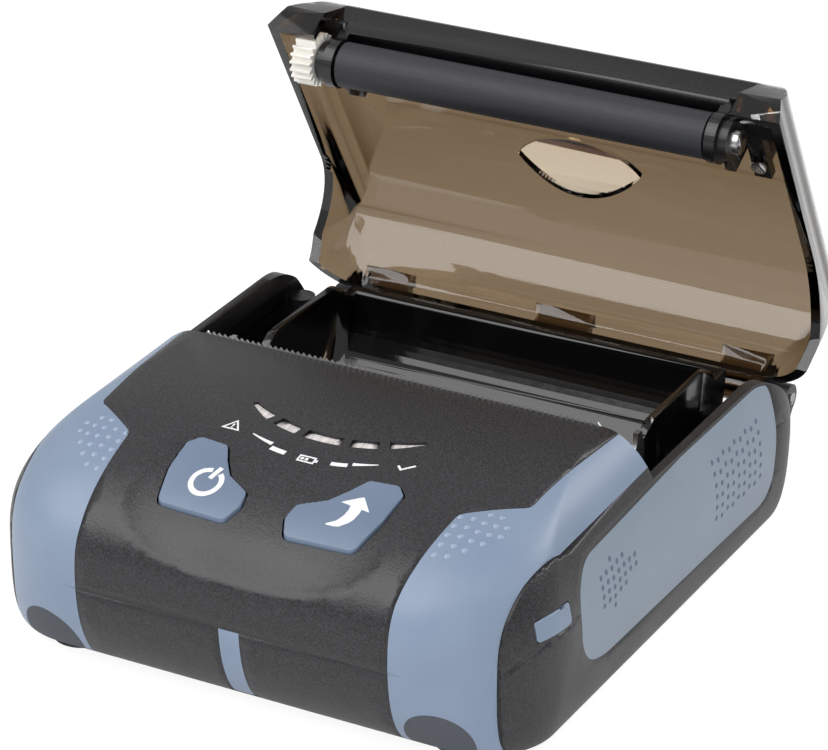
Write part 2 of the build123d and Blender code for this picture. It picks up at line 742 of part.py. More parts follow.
# Main board with its switches and the port socket
board_line = FilletPolyline((-46.0, -54.0), (49.5, -54.0), (49.5, -30.4), (46.0, -30.4),
                            (46.0, -16.0), (-22.0, -16.0), (-22.0, -21.6), (-46.0, -21.6),
                            radius=0.6, close=True)
main_board = plan_sheet(board_line, board_height, board_top) & body_form(skin + wall + 0.5)
for x, y, foot in board_posts:
    main_board -= post(x, y, 0, 60, board_hole)
switch_half = 3.0
tact_switches = []
for x in (-button_middle[0], button_middle[0]):
    y = button_middle[1]
    body = block(x - switch_half, x + switch_half, y - switch_half, y + switch_half,
                 board_top, board_top + switch_height - 0.6)
    tact_switches.append(body + post(x, y, board_top, board_top + switch_height, 1.6))
socket_back = body_half - 13.3
socket_mouth = body_half - 6.1
socket_half = 3.8
socket_height = 2.7
socket_play = 0.6
port_socket = block(socket_back, socket_mouth, port_middle - socket_half,
                    port_middle + socket_half, board_top, board_top + socket_height)
port_socket -= block(socket_back + 1.9, 60, port_middle - socket_half + 0.5,
                     port_middle + socket_half - 0.5, board_top + 0.4,
                     board_top + socket_height - 0.4)
port_socket += block(socket_back + 0.4, socket_mouth - 0.8, port_middle - 2.4,
                     port_middle + 2.4, board_top + 1.0, board_top + 1.5)
socket_room = block(socket_back - 1.2, socket_mouth + 2.0,
                    port_middle - socket_half - socket_play,
                    port_middle + socket_half + socket_play, board_top - 3,
                    board_top + socket_height + socket_play)
lower_casing -= socket_room
upper_casing -= socket_room

# The cover, drawn closed
cover_wall = 2.0
cover_front = 2.8
cover_lobe_inner = side_plate_inner + side_plate_thickness + 0.6
band_back = 9.5            # the clear cover starts here, behind the frame's black band


def cover_form(inset=0.0):
    """The cover's outer form: side view, front view and plan outline in one."""
    side_line = (Polyline((cover_front, 8.0), (cover_front, 40.0), (7.6, 45.8))
                 + ThreePointArc((7.6, 45.8), (10.6, 48.9), (14.5, 50.3))
                 + ThreePointArc((14.5, 50.3), (27.0, cover_top), (40.0, 50.1))
                 + ThreePointArc((40.0, 50.1), (60.6, 42.6), (69.8, 22.0))
                 + Polyline((69.8, 22.0), (69.8, 8.0), (cover_front, 8.0)))
    front_line = (Polyline((0, 8.0), (58.3, 8.0), (58.3, 18.0))
                  + ThreePointArc((58.3, 18.0), (57.0, 29.0), (53.7, 40.0))
                  + ThreePointArc((53.7, 40.0), (50.6, 47.4), (44.0, 50.4))
                  + ThreePointArc((44.0, 50.4), (22.0, 52.0), (0, 52.4))
                  + Line((0, 52.4), (0, 8.0)))
    side_face = make_face(side_line)
    front_face = make_face(front_line)
    if inset:
        side_face = offset(side_face, amount=-inset)
        front_face = offset(front_face, amount=-inset)
    along = extrude(Plane.YZ.offset(-80) * side_face, amount=160)
    plane = Plane(origin=(0, 90, 0), x_dir=(1, 0, 0), z_dir=(0, -1, 0))
    half = extrude(plane * front_face, amount=100)
    half += block(-1, 3, -10, 90, 8 + inset, 52.4 - inset)
    across = half + mirrored(half)
    plan = FilletPolyline((-58.3 + inset, -20), (58.3 - inset, -20), (58.3 - inset, 69.8 - inset),
                          (-58.3 + inset, 69.8 - inset),
                          radius=[0, 0, rear_corner - inset, rear_corner - inset], close=True)
    return along & across & plan_sheet(plan, 0, 70)


cover_outer = cover_form()
cover_inner = cover_form(cover_wall)
cover = cover_outer - cover_inner
cover -= ear_profile(cover_gap)
cover -= block(-80, 80, 55.0, 90, -10, hinge_height + 0.8)
cover -= block(-cover_lobe_inner, cover_lobe_inner, -10, band_back, 0, 70)
cover -= rod(-80, 80, hinge_back, hinge_height, hinge_barrel_radius + 0.6)
cover_arm = Polyline((66.0, 24.5), (70.2, 26.5), (74.6, 20.4), (72.0, 21.0), (69.0, 22.4),
                     (66.0, 24.5))
for x0, x1 in moving_knuckles:
    cover += side_sheet(cover_arm, x0, x1)
    cover += rod(x0, x1, hinge_back, hinge_height, hinge_barrel_radius)
cover -= rod(-60, 60, hinge_back, hinge_height, hinge_pin_radius + running_gap)

# Lens-shaped window in the cover
lens_side = -2.0           # its middle, a little left of the cover's
lens_back = 47.5
lens_half = 14.0
lens_bow = 7.0
lens_left = (lens_side - lens_half, lens_back)
lens_right = (lens_side + lens_half, lens_back)
lens_line = (ThreePointArc(lens_left, (lens_side, lens_back - lens_bow), lens_right)
             + ThreePointArc(lens_right, (lens_side, lens_back + lens_bow), lens_left))
cover_window = (plan_sheet(lens_line, 36, 60) & cover_outer) - cover_inner
cover -= cover_window

# Platen and its frame, drawn closed
cheek_inner = 40.6
cheek_outer = side_plate_inner - 0.8
cheek_radius = 5.0
frame_front = 7.4
frame_rear = 17.0
frame_low = 39.6
frame_top = 42.0
wing_front = 4.5
wing_outer = 50.6
wing_low = 40.4
wing_top = 42.4
tongue_inner = 43.5
tongue_outer = 47.1
tongue_rear = 29.0
frame_screw_side = (tongue_inner + tongue_outer) / 2
frame_screw_back = 25.0
platen_frame = block(-cheek_outer, cheek_outer, frame_front, frame_rear, frame_low, frame_top)
platen_frame -= rod(-beyond, beyond, platen_back, platen_height, platen_rubber_radius + 0.6)
for side in (-1, 1):
    near, far = sorted((side * cheek_inner, side * cheek_outer))
    cheek = rod(near, far, platen_back, platen_height, cheek_radius)
    cheek += block(near, far, frame_front, 22.0, platen_height + 1.0, frame_top)
    platen_frame += cheek
    near, far = sorted((side * 30.0, side * 36.0))
    platen_frame += block(near, far, 10.0, frame_rear, frame_top - 0.5, beyond) & cover_inner
    near, far = sorted((side * (cheek_outer - 0.5), side * wing_outer))
    platen_frame += block(near, far, wing_front, frame_rear, wing_low, wing_top) & cover_inner
    near, far = sorted((side * tongue_inner, side * tongue_outer))
    platen_frame += block(near, far, frame_rear - 0.5, tongue_rear, wing_low, wing_top)
    platen_frame += (post(side * frame_screw_side, frame_screw_back, wing_low, beyond, 1.8)
                     & cover_inner)
platen_frame -= rod(-beyond, beyond, platen_back, platen_height, bushing_radius)
platen_frame += (block(-cheek_outer, cheek_outer, band_back - 0.2, 10.4, frame_top - 0.5, beyond)
                 & cover_inner)
platen_frame += (block(-cover_lobe_inner, cover_lobe_inner, cover_lip_back, band_back,
                       frame_top - 0.5, beyond) & cover_outer)

# Screws that hold the frame, their heads under its tongues
frame_screws = []
for x in (-frame_screw_side, frame_screw_side):
    platen_frame -= post(x, frame_screw_back, wing_low - 1, wing_top + 3.2, 0.8)
    frame_screws.append(post(x, frame_screw_back, wing_low - 1.1, wing_low, 1.6)
                        + post(x, frame_screw_back, wing_low - 0.5, wing_top + 3.0, 0.8))
platen_bushings = []
for side in (-1, 1):
    near, far = sorted((side * cheek_inner, side * (side_plate_inner + side_plate_thickness + 0.2)))
    bushing = rod(near, far, platen_back, platen_height, bushing_radius)
    bushing -= rod(-60, 60, platen_back, platen_height, platen_shaft_radius + running_gap)
    platen_bushings.append(bushing)
platen_roller = rod(-platen_half, platen_half, platen_back, platen_height, platen_rubber_radius)
platen_roller -= rod(-60, 60, platen_back, platen_height, platen_shaft_radius)
platen_shaft = rod(gear_far - 0.6, 46.4, platen_back, platen_height, platen_shaft_radius)
platen_gear = gear(platen_teeth, gear_far, gear_width, platen_back, platen_height,
                   platen_shaft_radius)

nodes = {
    "upper_casing": upper_casing,
    "lower_casing": lower_casing,
    "front_strip": strip,
    "port_flap": port_flap,
    "power_button": power_button,
    "feed_button": feed_button,
    "status_windows": status_windows,
    "status_lamps": status_lamps,
    "tear_bar": tear_bar,
    "paper_tray": paper_tray,
    "paper_sensor": paper_sensor,
    "print_head": print_head,
    "heat_sink": heat_sink,
    "head_bracket": head_bracket,
    "head_pin": head_pin,
    "head_springs": head_springs,
    "side_plate_left": side_plate_left,
    "side_plate_right": side_plate_right,
    "stepper_motor": stepper_motor,
    "motor_shaft": motor_shaft,
    "motor_pinion": motor_pinion,
    "idler_gear": idler_gear,
    "drive_gear": drive_gear,
    "gear_stubs": gear_stubs,
    "main_board": main_board,
    "tact_switches": tact_switches,
    "port_socket": port_socket,
    "board_screws": board_screws,
    "case_screws": screws,
    "battery_pack": battery_pack,
    "battery_contacts": battery_contacts,
    "battery_latch": battery_latch,
    "hinge_pin": hinge_pin,
}
nodes.update(trims)
nodes.update(pads)
nodes.update(feet)
cover_nodes = {
    "cover": cover,
    "cover_window": cover_window,
    "platen_frame": platen_frame,
    "frame_screws": frame_screws,
    "platen_bushings": platen_bushings,
    "platen_roller": platen_roller,
    "platen_shaft": platen_shaft,
    "platen_gear": platen_gear,
}


def write(name, shape, open_up=False):
    """Writes one node, moved from the tear bar's frame to the object's frame."""
    pieces = shape if isinstance(shape, list) else [shape]
    whole = Compound(children=[solid for piece in pieces for solid in piece.solids()])
    if open_up:
        whole = to_cover_pose(whole)
    whole = Pos(0, -tear_to_origin, 0) * whole
    export_step(whole, "parts/" + name + ".step")
    return whole.bounding_box()


boxes = [write(name, shape) for name, shape in nodes.items()]
boxes += [write(name, shape, True) for name, shape in cover_nodes.items()]
low_y = min(box.min.Y for box in boxes)
high_y = max(box.max.Y for box in boxes)
low_x = min(box.min.X for box in boxes)
high_x = max(box.max.X for box in boxes)
print("across", round(low_x, 2), round(high_x, 2), "along", round(low_y, 2), round(high_y, 2))
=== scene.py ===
import math
import bmesh
import bpy
import numpy as np
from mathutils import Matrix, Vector


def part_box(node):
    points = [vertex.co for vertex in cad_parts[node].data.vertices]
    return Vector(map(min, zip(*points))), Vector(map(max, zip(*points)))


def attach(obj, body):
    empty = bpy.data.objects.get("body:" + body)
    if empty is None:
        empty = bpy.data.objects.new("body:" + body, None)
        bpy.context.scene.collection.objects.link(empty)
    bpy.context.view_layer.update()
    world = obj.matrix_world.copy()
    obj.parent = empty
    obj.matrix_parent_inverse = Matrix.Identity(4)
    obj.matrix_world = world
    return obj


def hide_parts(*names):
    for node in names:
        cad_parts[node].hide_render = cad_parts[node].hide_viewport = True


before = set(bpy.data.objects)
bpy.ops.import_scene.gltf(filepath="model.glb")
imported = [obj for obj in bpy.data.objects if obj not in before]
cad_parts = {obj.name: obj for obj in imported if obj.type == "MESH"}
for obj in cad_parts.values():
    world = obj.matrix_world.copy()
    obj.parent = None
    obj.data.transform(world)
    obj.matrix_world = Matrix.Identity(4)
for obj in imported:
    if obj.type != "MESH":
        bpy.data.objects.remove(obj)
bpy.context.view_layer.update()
MM = 0.001


# Floor, light and camera
# A pale matt table and soft studio panels, at a level where a colour renders about as it is
# written. The camera looks down on the right front corner, as in the photograph.

def linear(code):
    """An sRGB hex colour as linear red, green, blue and alpha."""
    shares = [int(code[i:i + 2], 16) / 255 for i in (0, 2, 4)]
    parts = [s / 12.92 if s <= 0.04045 else ((s + 0.055) / 1.055) ** 2.4 for s in shares]
    return (*parts, 1.0)


def add(tree, kind, settings=None, links=None):
    """One node, with its settings or input values by name or number, and what feeds it."""
    node = tree.nodes.new(kind)
    for name, value in (settings or {}).items():
        if isinstance(name, int) or name in node.inputs:
            node.inputs[name].default_value = value
        else:
            setattr(node, name, value)
    for name, source in (links or {}).items():
        tree.links.new(source, node.inputs[name])
    return node


def seen_directly(tree):
    """1 for what the camera sees, also through clear plastic, 0 for the light on the object.

    A reflection sees MIRRORED of it, because the studio round the white table is dim.
    """
    rays = add(tree, "ShaderNodeLightPath")
    first = add(tree, "ShaderNodeMath", {"operation": "MAXIMUM"},
                {0: rays.outputs["Is Camera Ray"], 1: rays.outputs["Is Transmission Ray"]})
    mirror = add(tree, "ShaderNodeMath", {"operation": "MULTIPLY", 1: MIRRORED},
                 {0: rays.outputs["Is Glossy Ray"]})
    return add(tree, "ShaderNodeMath", {"operation": "MAXIMUM"},
               {0: first.outputs["Value"], 1: mirror.outputs["Value"]}).outputs["Value"]


MIRRORED = 0.4
table = bpy.data.meshes.new("table_top")
TABLE_HALF = 3.0
table.from_pydata([(x, y, 0) for x, y in ((-TABLE_HALF, -TABLE_HALF), (TABLE_HALF, -TABLE_HALF),
                                          (TABLE_HALF, TABLE_HALF), (-TABLE_HALF, TABLE_HALF))],
                  [], [(0, 1, 2, 3)])
table_top = bpy.data.objects.new("table_top", table)
bpy.context.scene.collection.objects.link(table_top)
matt_white = bpy.data.materials.new("matt_white_laminate")
matt_white.use_nodes = True
tree = matt_white.node_tree
laminate = tree.nodes["Principled BSDF"]
laminate.inputs["Base Color"].default_value = linear("F4F4F4")
laminate.inputs["Roughness"].default_value = 0.9
glow = add(tree, "ShaderNodeEmission", {"Color": (1, 1, 1, 1), "Strength": 1.18})
TABLE_GLOW = 0.76
share = add(tree, "ShaderNodeMath", {"operation": "MULTIPLY", 1: TABLE_GLOW},
            {0: seen_directly(tree)})
mixed = add(tree, "ShaderNodeMixShader", {}, {0: share.outputs["Value"], 1: laminate.outputs["BSDF"],
                                              2: glow.outputs["Emission"]})
below = add(tree, "ShaderNodeNewGeometry")
clear = add(tree, "ShaderNodeBsdfTransparent")
one_sided = add(tree, "ShaderNodeMixShader", {}, {0: below.outputs["Backfacing"],
                                                  1: mixed.outputs["Shader"],
                                                  2: clear.outputs["BSDF"]})
tree.links.new(one_sided.outputs["Shader"], tree.nodes["Material Output"].inputs["Surface"])
table.materials.append(matt_white)

world = bpy.data.worlds.new("studio")
world.use_nodes = True
bpy.context.scene.world = world
tree = world.node_tree
WORLD_LIGHT = 0.3
backdrop = tree.nodes["Background"]
backdrop.inputs["Color"].default_value = (1, 1, 1, 1)
strength = add(tree, "ShaderNodeMapRange", {"To Min": WORLD_LIGHT, "To Max": 1.0},
               {"Value": seen_directly(tree)})
tree.links.new(strength.outputs["Result"], backdrop.inputs["Strength"])


def panel_light(name, place, size, power, mirrored=True):
    """A square soft panel that points at the printer; some only fill and aren't mirrored."""
    lamp = bpy.data.lights.new(name, "AREA")
    lamp.shape = "SQUARE"
    lamp.size = size
    lamp.energy = power
    stand = bpy.data.objects.new(name, lamp)
    stand.location = place
    stand.rotation_euler = (Vector((0, 0, 0.04)) - stand.location).to_track_quat("-Z", "Y").to_euler()
    stand.visible_glossy = mirrored
    bpy.context.scene.collection.objects.link(stand)


panel_light("top_panel", (-0.29, -0.34, 0.64), 0.65, 4.2)
panel_light("rear_panel", (0.4, 0.55, 0.6), 0.35, 2.9)
panel_light("front_panel", (0.45, -0.85, 0.35), 0.6, 3.6, mirrored=False)

camera = bpy.data.cameras.new("camera")
camera.sensor_width = 36.0
camera.lens = 164.7
camera.clip_start = 0.01
view_point = bpy.data.objects.new("camera", camera)
view_point.location = (0.3078, -0.5768, 0.3551)
view_point.rotation_euler = (math.radians(64.1), 0, math.radians(28.25))
bpy.context.scene.collection.objects.link(view_point)
bpy.context.scene.camera = view_point
bpy.context.scene.view_settings.view_transform = "Standard"


# Upper and lower casing
# Two injection-moulded ABS shells, spark-eroded to a fine matt grain that sparkles on the
# rounded nose. They meet at a split line and are screwed together from below.

def finish(name, colour, roughness, **constants):
    """A new material and its shader, with everything that is the same all over set on it."""
    material = bpy.data.materials.new(name)
    material.use_nodes = True
    tree = material.node_tree
    shader = tree.nodes["Principled BSDF"]
    shader.inputs["Base Color"].default_value = linear(colour)
    shader.inputs["Roughness"].default_value = roughness
    for socket, value in constants.items():
        shader.inputs[socket.replace("_", " ")].default_value = value
    return material, tree, shader


BROAD_TIMES = 40


def grain(tree, shader, size, depth, roughness, stretch=(1, 1, 1)):
    """A moulded grain: bumps of a real size and depth in mm, and roughness between two values.

    It gives back the fine noise of the grain and one BROAD_TIMES as wide.
    """
    place = add(tree, "ShaderNodeTexCoord").outputs["Object"]
    turned = add(tree, "ShaderNodeMapping", {"Scale": stretch}, {"Vector": place})
    fine = add(tree, "ShaderNodeTexNoise", {"Scale": 1 / (size * MM), "Detail": 3.0},
               {"Vector": turned.outputs["Vector"]})
    broad = add(tree, "ShaderNodeTexNoise", {"Scale": 1 / (size * MM * BROAD_TIMES), "Detail": 2.0},
                {"Vector": turned.outputs["Vector"]})
    both = add(tree, "ShaderNodeMath", {"operation": "MULTIPLY_ADD", 1: 0.6},
               {0: broad.outputs["Fac"], 2: fine.outputs["Fac"]})
    low, high = roughness
    rough = add(tree, "ShaderNodeMapRange", {"From Min": 0.5, "From Max": 1.1, "To Min": low,
                                             "To Max": high}, {"Value": both.outputs["Value"]})
    tree.links.new(rough.outputs["Result"], shader.inputs["Roughness"])
    bump = add(tree, "ShaderNodeBump", {"Strength": 1.0, "Distance": depth * MM},
               {"Height": fine.outputs["Fac"]})
    tree.links.new(bump.outputs["Normal"], shader.inputs["Normal"])
    return fine, broad


def speckle(tree, shader, source, dark, light, low=0.3, high=0.7):
    """Colour between two hex values, by how high a noise is."""
    blend = add(tree, "ShaderNodeValToRGB", {}, {"Fac": source.outputs["Fac"]})
    first, last = blend.color_ramp.elements
    first.position, first.color = low, linear(dark)
    last.position, last.color = high, linear(light)
    tree.links.new(blend.outputs["Color"], shader.inputs["Base Color"])


MERGED_WITHIN = 0.002
FLAT_WITHIN = 0.5


def copy_of(node, name, corner=35.0, flat=False):
    """A merged copy of a CAD node, shaded smooth up to a corner angle; flat joins its planes."""
    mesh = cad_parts[node].data.copy()
    work = bmesh.new()
    work.from_mesh(mesh)
    bmesh.ops.remove_doubles(work, verts=work.verts, dist=MERGED_WITHIN * MM)
    if flat:
        bmesh.ops.dissolve_limit(work, angle_limit=math.radians(FLAT_WITHIN), verts=work.verts,
                                 edges=work.edges)
    work.to_mesh(mesh)
    work.free()
    mesh.materials.clear()
    mesh.name = name
    mesh.polygons.foreach_set("use_smooth", np.ones(len(mesh.polygons), bool))
    mesh.set_sharp_from_angle(angle=math.radians(corner))
    piece = bpy.data.objects.new(name, mesh)
    bpy.context.scene.collection.objects.link(piece)
    return piece


def dress(node, material, body="base", corner=35.0, flat=False):
    """The smooth copy that stands for a CAD node, in its material, riding on its body."""
    piece = copy_of(node, node + "_shell", corner, flat)
    shading = piece.modifiers.new("even_shading", "WEIGHTED_NORMAL")
    shading.keep_sharp = True
    piece.data.materials.append(material)
    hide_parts(node)
    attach(piece, body)
    return piece


# Grained black ABS: nearly black, with a broad soft sheen broken up by the eroded grain
black_abs, tree, shader = finish("grained_black_abs", "1A1A1D", 0.4, IOR=1.53)
fine = grain(tree, shader, 0.4, 0.07, (0.32, 0.46))[0]
speckle(tree, shader, fine, "101012", "37363B", 0.38, 0.75)
upper = dress("upper_casing", black_abs)
dress("lower_casing", black_abs)


# Corner trims, side pads and front strip
# Soft-touch elastomer in blue-grey, moulded in a second shot into the black shells.

soft_touch, tree, shader = finish("blue_grey_elastomer", "7F8FA6", 0.5, IOR=1.5)
shader.inputs["Sheen Weight"].default_value = 0.1
shader.inputs["Sheen Roughness"].default_value = 0.4
broad = grain(tree, shader, 0.3, 0.012, (0.36, 0.48))[1]
speckle(tree, shader, broad, "7C8CA4", "8292A8")
trims = {}
for level in ("upper", "lower"):
    for side in ("left", "right"):
        node = "trim_" + level + "_" + side
        trims[node] = dress(node, soft_touch)
pad_touch, tree, shader = finish("grey_pad_elastomer", "82909F", 0.5, IOR=1.5)
shader.inputs["Sheen Weight"].default_value = 0.1
shader.inputs["Sheen Roughness"].default_value = 0.4
broad = grain(tree, shader, 0.3, 0.012, (0.38, 0.5))[1]
speckle(tree, shader, broad, "7F8D9C", "8592A1")
pads = {}
for side in ("left", "right"):
    pads[side] = dress("side_pad_" + side, pad_touch)
dress("front_strip", soft_touch)
dress("port_flap", soft_touch, "flap")


# Grip bumps of the trims and dimples of the side pads
# Small domes stand on the inner lobes of both upper trims, in staggered rows. The pads have round
# dimples in two clusters: each a disc laid on the pad inside a low rim, its darker colour painted
# shade for the hollow of a dimple.

START_AWAY = 70.0
MISSED_BEYOND = 65.0


def domes(name, places, axis, radius, height, target, material, dish=False):
    """Round domes on a surface. Each is a disc of rings round a place in the plane across axis.

    axis holds the two directions in that plane, the one across it, and the side it is seen from.
    The discs start outside the printer and are dropped on it; one that misses it is left out.
    A ring at share r of the radius stands height * (1 - r * r) above the surface; a dish has
    sin(pi * r) * height in its outer half and nothing in its middle instead.
    """
    rings, sides = 4, 12
    share = np.linspace(0, 1, rings)[:, None]
    turn = np.linspace(0, 2 * np.pi, sides, endpoint=False)[None, :]
    along = share * radius * np.cos(turn)
    across = share * radius * np.sin(turn)
    lift = np.repeat(1 - share ** 2, sides, axis=1) * height
    if dish:
        lift = np.repeat(np.sin(share * np.pi) * (share > 0.5), sides, axis=1) * height
    count = len(places)
    points = np.zeros((count, rings, sides, 3))
    points[..., axis[0]] = places[:, 0][:, None, None] + along
    points[..., axis[1]] = places[:, 1][:, None, None] + across
    points[..., axis[2]] = axis[3] * START_AWAY
    ring, side = np.meshgrid(np.arange(rings - 1), np.arange(sides), indexing="ij")
    near = ring * sides + side
    ahead = ring * sides + (side + 1) % sides
    quads = np.stack([near, ahead, ahead + sides, near + sides], -1).reshape(-1, 4)
    quads = (quads[None] + (np.arange(count) * rings * sides)[:, None, None]).reshape(-1, 4)
    mesh = bpy.data.meshes.new(name)
    mesh.from_pydata((points * MM).reshape(-1, 3), [], quads)
    piece = bpy.data.objects.new(name, mesh)
    bpy.context.scene.collection.objects.link(piece)
    laid_on(piece, target, axis[2], 0.02)
    places_now = np.empty(count * rings * sides * 3)
    piece.data.vertices.foreach_get("co", places_now)
    places_now = places_now.reshape(-1, 3)
    places_now[:, axis[2]] += axis[3] * np.tile(lift.ravel(), count) * MM
    piece.data.vertices.foreach_set("co", places_now.ravel())
    work = bmesh.new()
    work.from_mesh(piece.data)
    missed = [v for v in work.verts if abs(v.co[axis[2]]) > MISSED_BEYOND * MM]
    beside = {face for v in missed for face in v.link_faces}
    bmesh.ops.delete(work, geom=list(beside), context="FACES")
    bmesh.ops.remove_doubles(work, verts=work.verts, dist=1e-7)
    work.to_mesh(piece.data)
    work.free()
    turned_out(piece, Vector([axis[3] if i == axis[2] else 0 for i in range(3)]))
    piece.data.polygons.foreach_set("use_smooth", np.ones(len(piece.data.polygons), bool))
    piece.data.materials.append(material)
    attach(piece, "base")
    return piece


def laid_on(piece, target, axis, gap):
    """Drops a flat piece along an axis onto a target's surface and keeps the result."""
    wrap = piece.modifiers.new("laid", "SHRINKWRAP")
    wrap.target = target
    wrap.wrap_method = "PROJECT"
    wrap.use_project_x, wrap.use_project_y, wrap.use_project_z = (axis == i for i in range(3))
    wrap.use_positive_direction = True
    wrap.use_negative_direction = True
    wrap.offset = gap * MM
    kept(piece)


def kept(piece):
    """Applies what a piece's modifiers make of it."""
    graph = bpy.context.evaluated_depsgraph_get()
    piece.data = bpy.data.meshes.new_from_object(piece.evaluated_get(graph))
    piece.modifiers.clear()


def turned_out(piece, outward):
    """Turns the faces of an open skin so that on average they look outward."""
    mesh = piece.data
    normals = np.empty(len(mesh.polygons) * 3)
    mesh.polygons.foreach_get("normal", normals)
    if normals.reshape(-1, 3).sum(0) @ np.array(outward) < 0:
        mesh.flip_normals()


BUMP_COLUMNS = [(34.9, -61.6, 5), (37.3, -61.2, 5), (39.6, -59.0, 5), (41.8, -56.3, 4),
                (43.8, -53.3, 2)]
BUMP_PITCH = 2.5
bump_places = np.concatenate([np.column_stack([np.full(count, x), y + BUMP_PITCH * np.arange(count)])
                              for x, y, count in BUMP_COLUMNS])
# The domes are the trims' elastomer, coloured lighter than the trim: a painted highlight on them.
grip_dome_painted_highlight, tree, shader = finish("blue_grey_grip_dome_painted_highlight", "93A3BA", 0.42, IOR=1.5)
grain(tree, shader, 0.3, 0.01, (0.34, 0.46))
for side, sign in (("left", -1), ("right", 1)):
    domes("grip_bumps_" + side, bump_places * (sign, 1), (0, 1, 2, 1), 0.62, 0.32,
          trims["trim_upper_" + side], grip_dome_painted_highlight)

DIMPLE_DROP = 1.804
REAR_START = (9.5, 28.2)
REAR_PITCH = (2.5, 2.3)
REAR_STAGGER = 0.5
REAR_BAND = (15, 28.4)
DIMPLE_ROWS = [(-25.2, 25.4, 2), (-27.4, 25.4, 2), (-29.6, 27.2, 4), (-31.8, 27.0, 4),
               (-34.0, 28.4, 6), (-36.2, 26.8, 4), (-38.4, 26.6, 4)]
front_holes = np.concatenate([np.column_stack([np.full(count, y), z - DIMPLE_DROP
                                               * np.arange(count)]) for y, z, count in DIMPLE_ROWS])
grid = np.stack(np.meshgrid(np.arange(9), np.arange(6), indexing="ij"), -1).reshape(-1, 2)
rear_holes = np.column_stack([REAR_START[0] + REAR_PITCH[0] * grid[:, 0],
                              REAR_START[1] - REAR_PITCH[1] * grid[:, 1]
                              - REAR_STAGGER * (grid[:, 0] % 2)])
rear_holes = rear_holes[(rear_holes[:, 1] > REAR_BAND[0]) & (rear_holes[:, 1] < REAR_BAND[1])]
# The dimple discs are darker than the pad: painted shade where a real dimple's hollow would be
# shaded.
dimple_painted_shade, tree, shader = finish("dimple_disc_painted_shade", "5F6D82", 0.6, IOR=1.5)
grain(tree, shader, 0.3, 0.01, (0.52, 0.66))
for side, sign in (("left", -1), ("right", 1)):
    domes("pad_dimples_" + side, np.concatenate([front_holes, rear_holes]), (1, 2, 0, sign), 0.55,
          0.09, pads[side], dimple_painted_shade, dish=True)


# Feet
# Darker moulded rubber bumpers under the front corners and round pads at the rear.

foot_rubber, tree, shader = finish("dark_grey_rubber", "4A4E55", 0.7, IOR=1.5)
grain(tree, shader, 0.35, 0.03, (0.62, 0.78))
for place in ("front", "rear"):
    for side in ("left", "right"):
        dress("foot_" + place + "_" + side, foot_rubber)


# Power button and feed button
# Satin ABS keys in the trims' blue-grey, each with a symbol printed in white.

KEY_CELL = 0.16
KEY_ROUNDS = 6


def softened(node, body):
    """A key in an even net of cells of that many mm, its corners smoothed round in some rounds."""
    piece = copy_of(node, node + "_soft")
    net = piece.modifiers.new("even_net", "REMESH")
    net.mode = "VOXEL"
    net.voxel_size = KEY_CELL * MM
    net.use_smooth_shade = True
    soft = piece.modifiers.new("rounded", "SMOOTH")
    soft.iterations = KEY_ROUNDS
    kept(piece)
    piece.data.materials.append(key_abs)
    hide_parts(node)
    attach(piece, body)
    return piece


key_abs, tree, shader = finish("satin_blue_grey_abs", "6C7C93", 0.4, IOR=1.53)
broad = grain(tree, shader, 0.35, 0.008, (0.34, 0.44))[1]
speckle(tree, shader, broad, "697990", "707F96")
keys = {"power": softened("power_button", "power_key"),
        "feed": softened("feed_button", "feed_key")}


def ribbon(path, half, closed=False):
    """Corners of a strip along a path in the plan view, in mm.

    Each point of the path is moved to both sides along the bisector of its two runs, by half
    its width over the cosine of half the turn, so that the strip keeps its width in corners.
    """
    path = np.asarray(path, float)
    half = np.broadcast_to(np.asarray(half, float), (len(path),))
    run = (np.roll(path, -1, 0) - path) if closed else np.diff(path, axis=0)
    run = run / np.linalg.norm(run, axis=1)[:, None]
    before = np.roll(run, 1, 0) if closed else np.vstack([run[:1], run])
    after = run if closed else np.vstack([run, run[-1:]])
    side = np.column_stack([-(before + after)[:, 1], (before + after)[:, 0]])
    side = side / np.linalg.norm(side, axis=1)[:, None]
    bend = np.maximum((side * np.column_stack([-after[:, 1], after[:, 0]])).sum(1), 0.4)
    reach = side * (half / bend)[:, None]
    return path + reach, path - reach


def printed(name, strips, target, material, body):
    """Prints strips on a surface: each is cut into short cells, laid on it and given a film."""
    points, quads = [], []
    across = np.linspace(0, 1, 4)[None, :, None]
    first = 0
    for left, right, closed in strips:
        rows = left[:, None] * (1 - across) + right[:, None] * across
        count = len(rows)
        flat = np.concatenate([rows.reshape(-1, 2), np.full((count * 4, 1), START_AWAY)], 1)
        last = count if closed else count - 1
        row, column = np.meshgrid(np.arange(last), np.arange(3), indexing="ij")
        near = row * 4 + column
        ahead = (row + 1) % count * 4 + column
        quads.append(np.stack([near, near + 1, ahead + 1, ahead], -1).reshape(-1, 4) + first)
        points.append(flat)
        first += count * 4
    mesh = bpy.data.meshes.new(name)
    mesh.from_pydata(np.concatenate(points) * MM, [], np.concatenate(quads))
    piece = bpy.data.objects.new(name, mesh)
    bpy.context.scene.collection.objects.link(piece)
    laid_on(piece, target, 2, FILM_GAP)
    turned_out(piece, Vector((0, 0, 1)))
    film = piece.modifiers.new("ink_film", "SOLIDIFY")
    film.thickness = FILM * MM
    film.offset = 1.0
    piece.data.materials.append(material)
    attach(piece, body)
    return piece


def along(points, step=0.5):
    """A polyline through points, in steps of about that many mm."""
    points = np.asarray(points, float)
    runs = np.linalg.norm(np.diff(points, axis=0), axis=1)
    reach = np.concatenate([[0], np.cumsum(runs)])
    places = np.unique(np.concatenate([reach, np.arange(0, reach[-1], step)]))
    return np.column_stack([np.interp(places, reach, points[:, i]) for i in range(2)])


FILM = 0.05
FILM_GAP = 0.015
white_ink, tree, shader = finish("white_pad_printing_ink", "F2F3F4", 0.45, IOR=1.5)
fine = grain(tree, shader, 0.2, 0.004, (0.38, 0.5))[0]
speckle(tree, shader, fine, "E9EAEC", "F8F9FA")

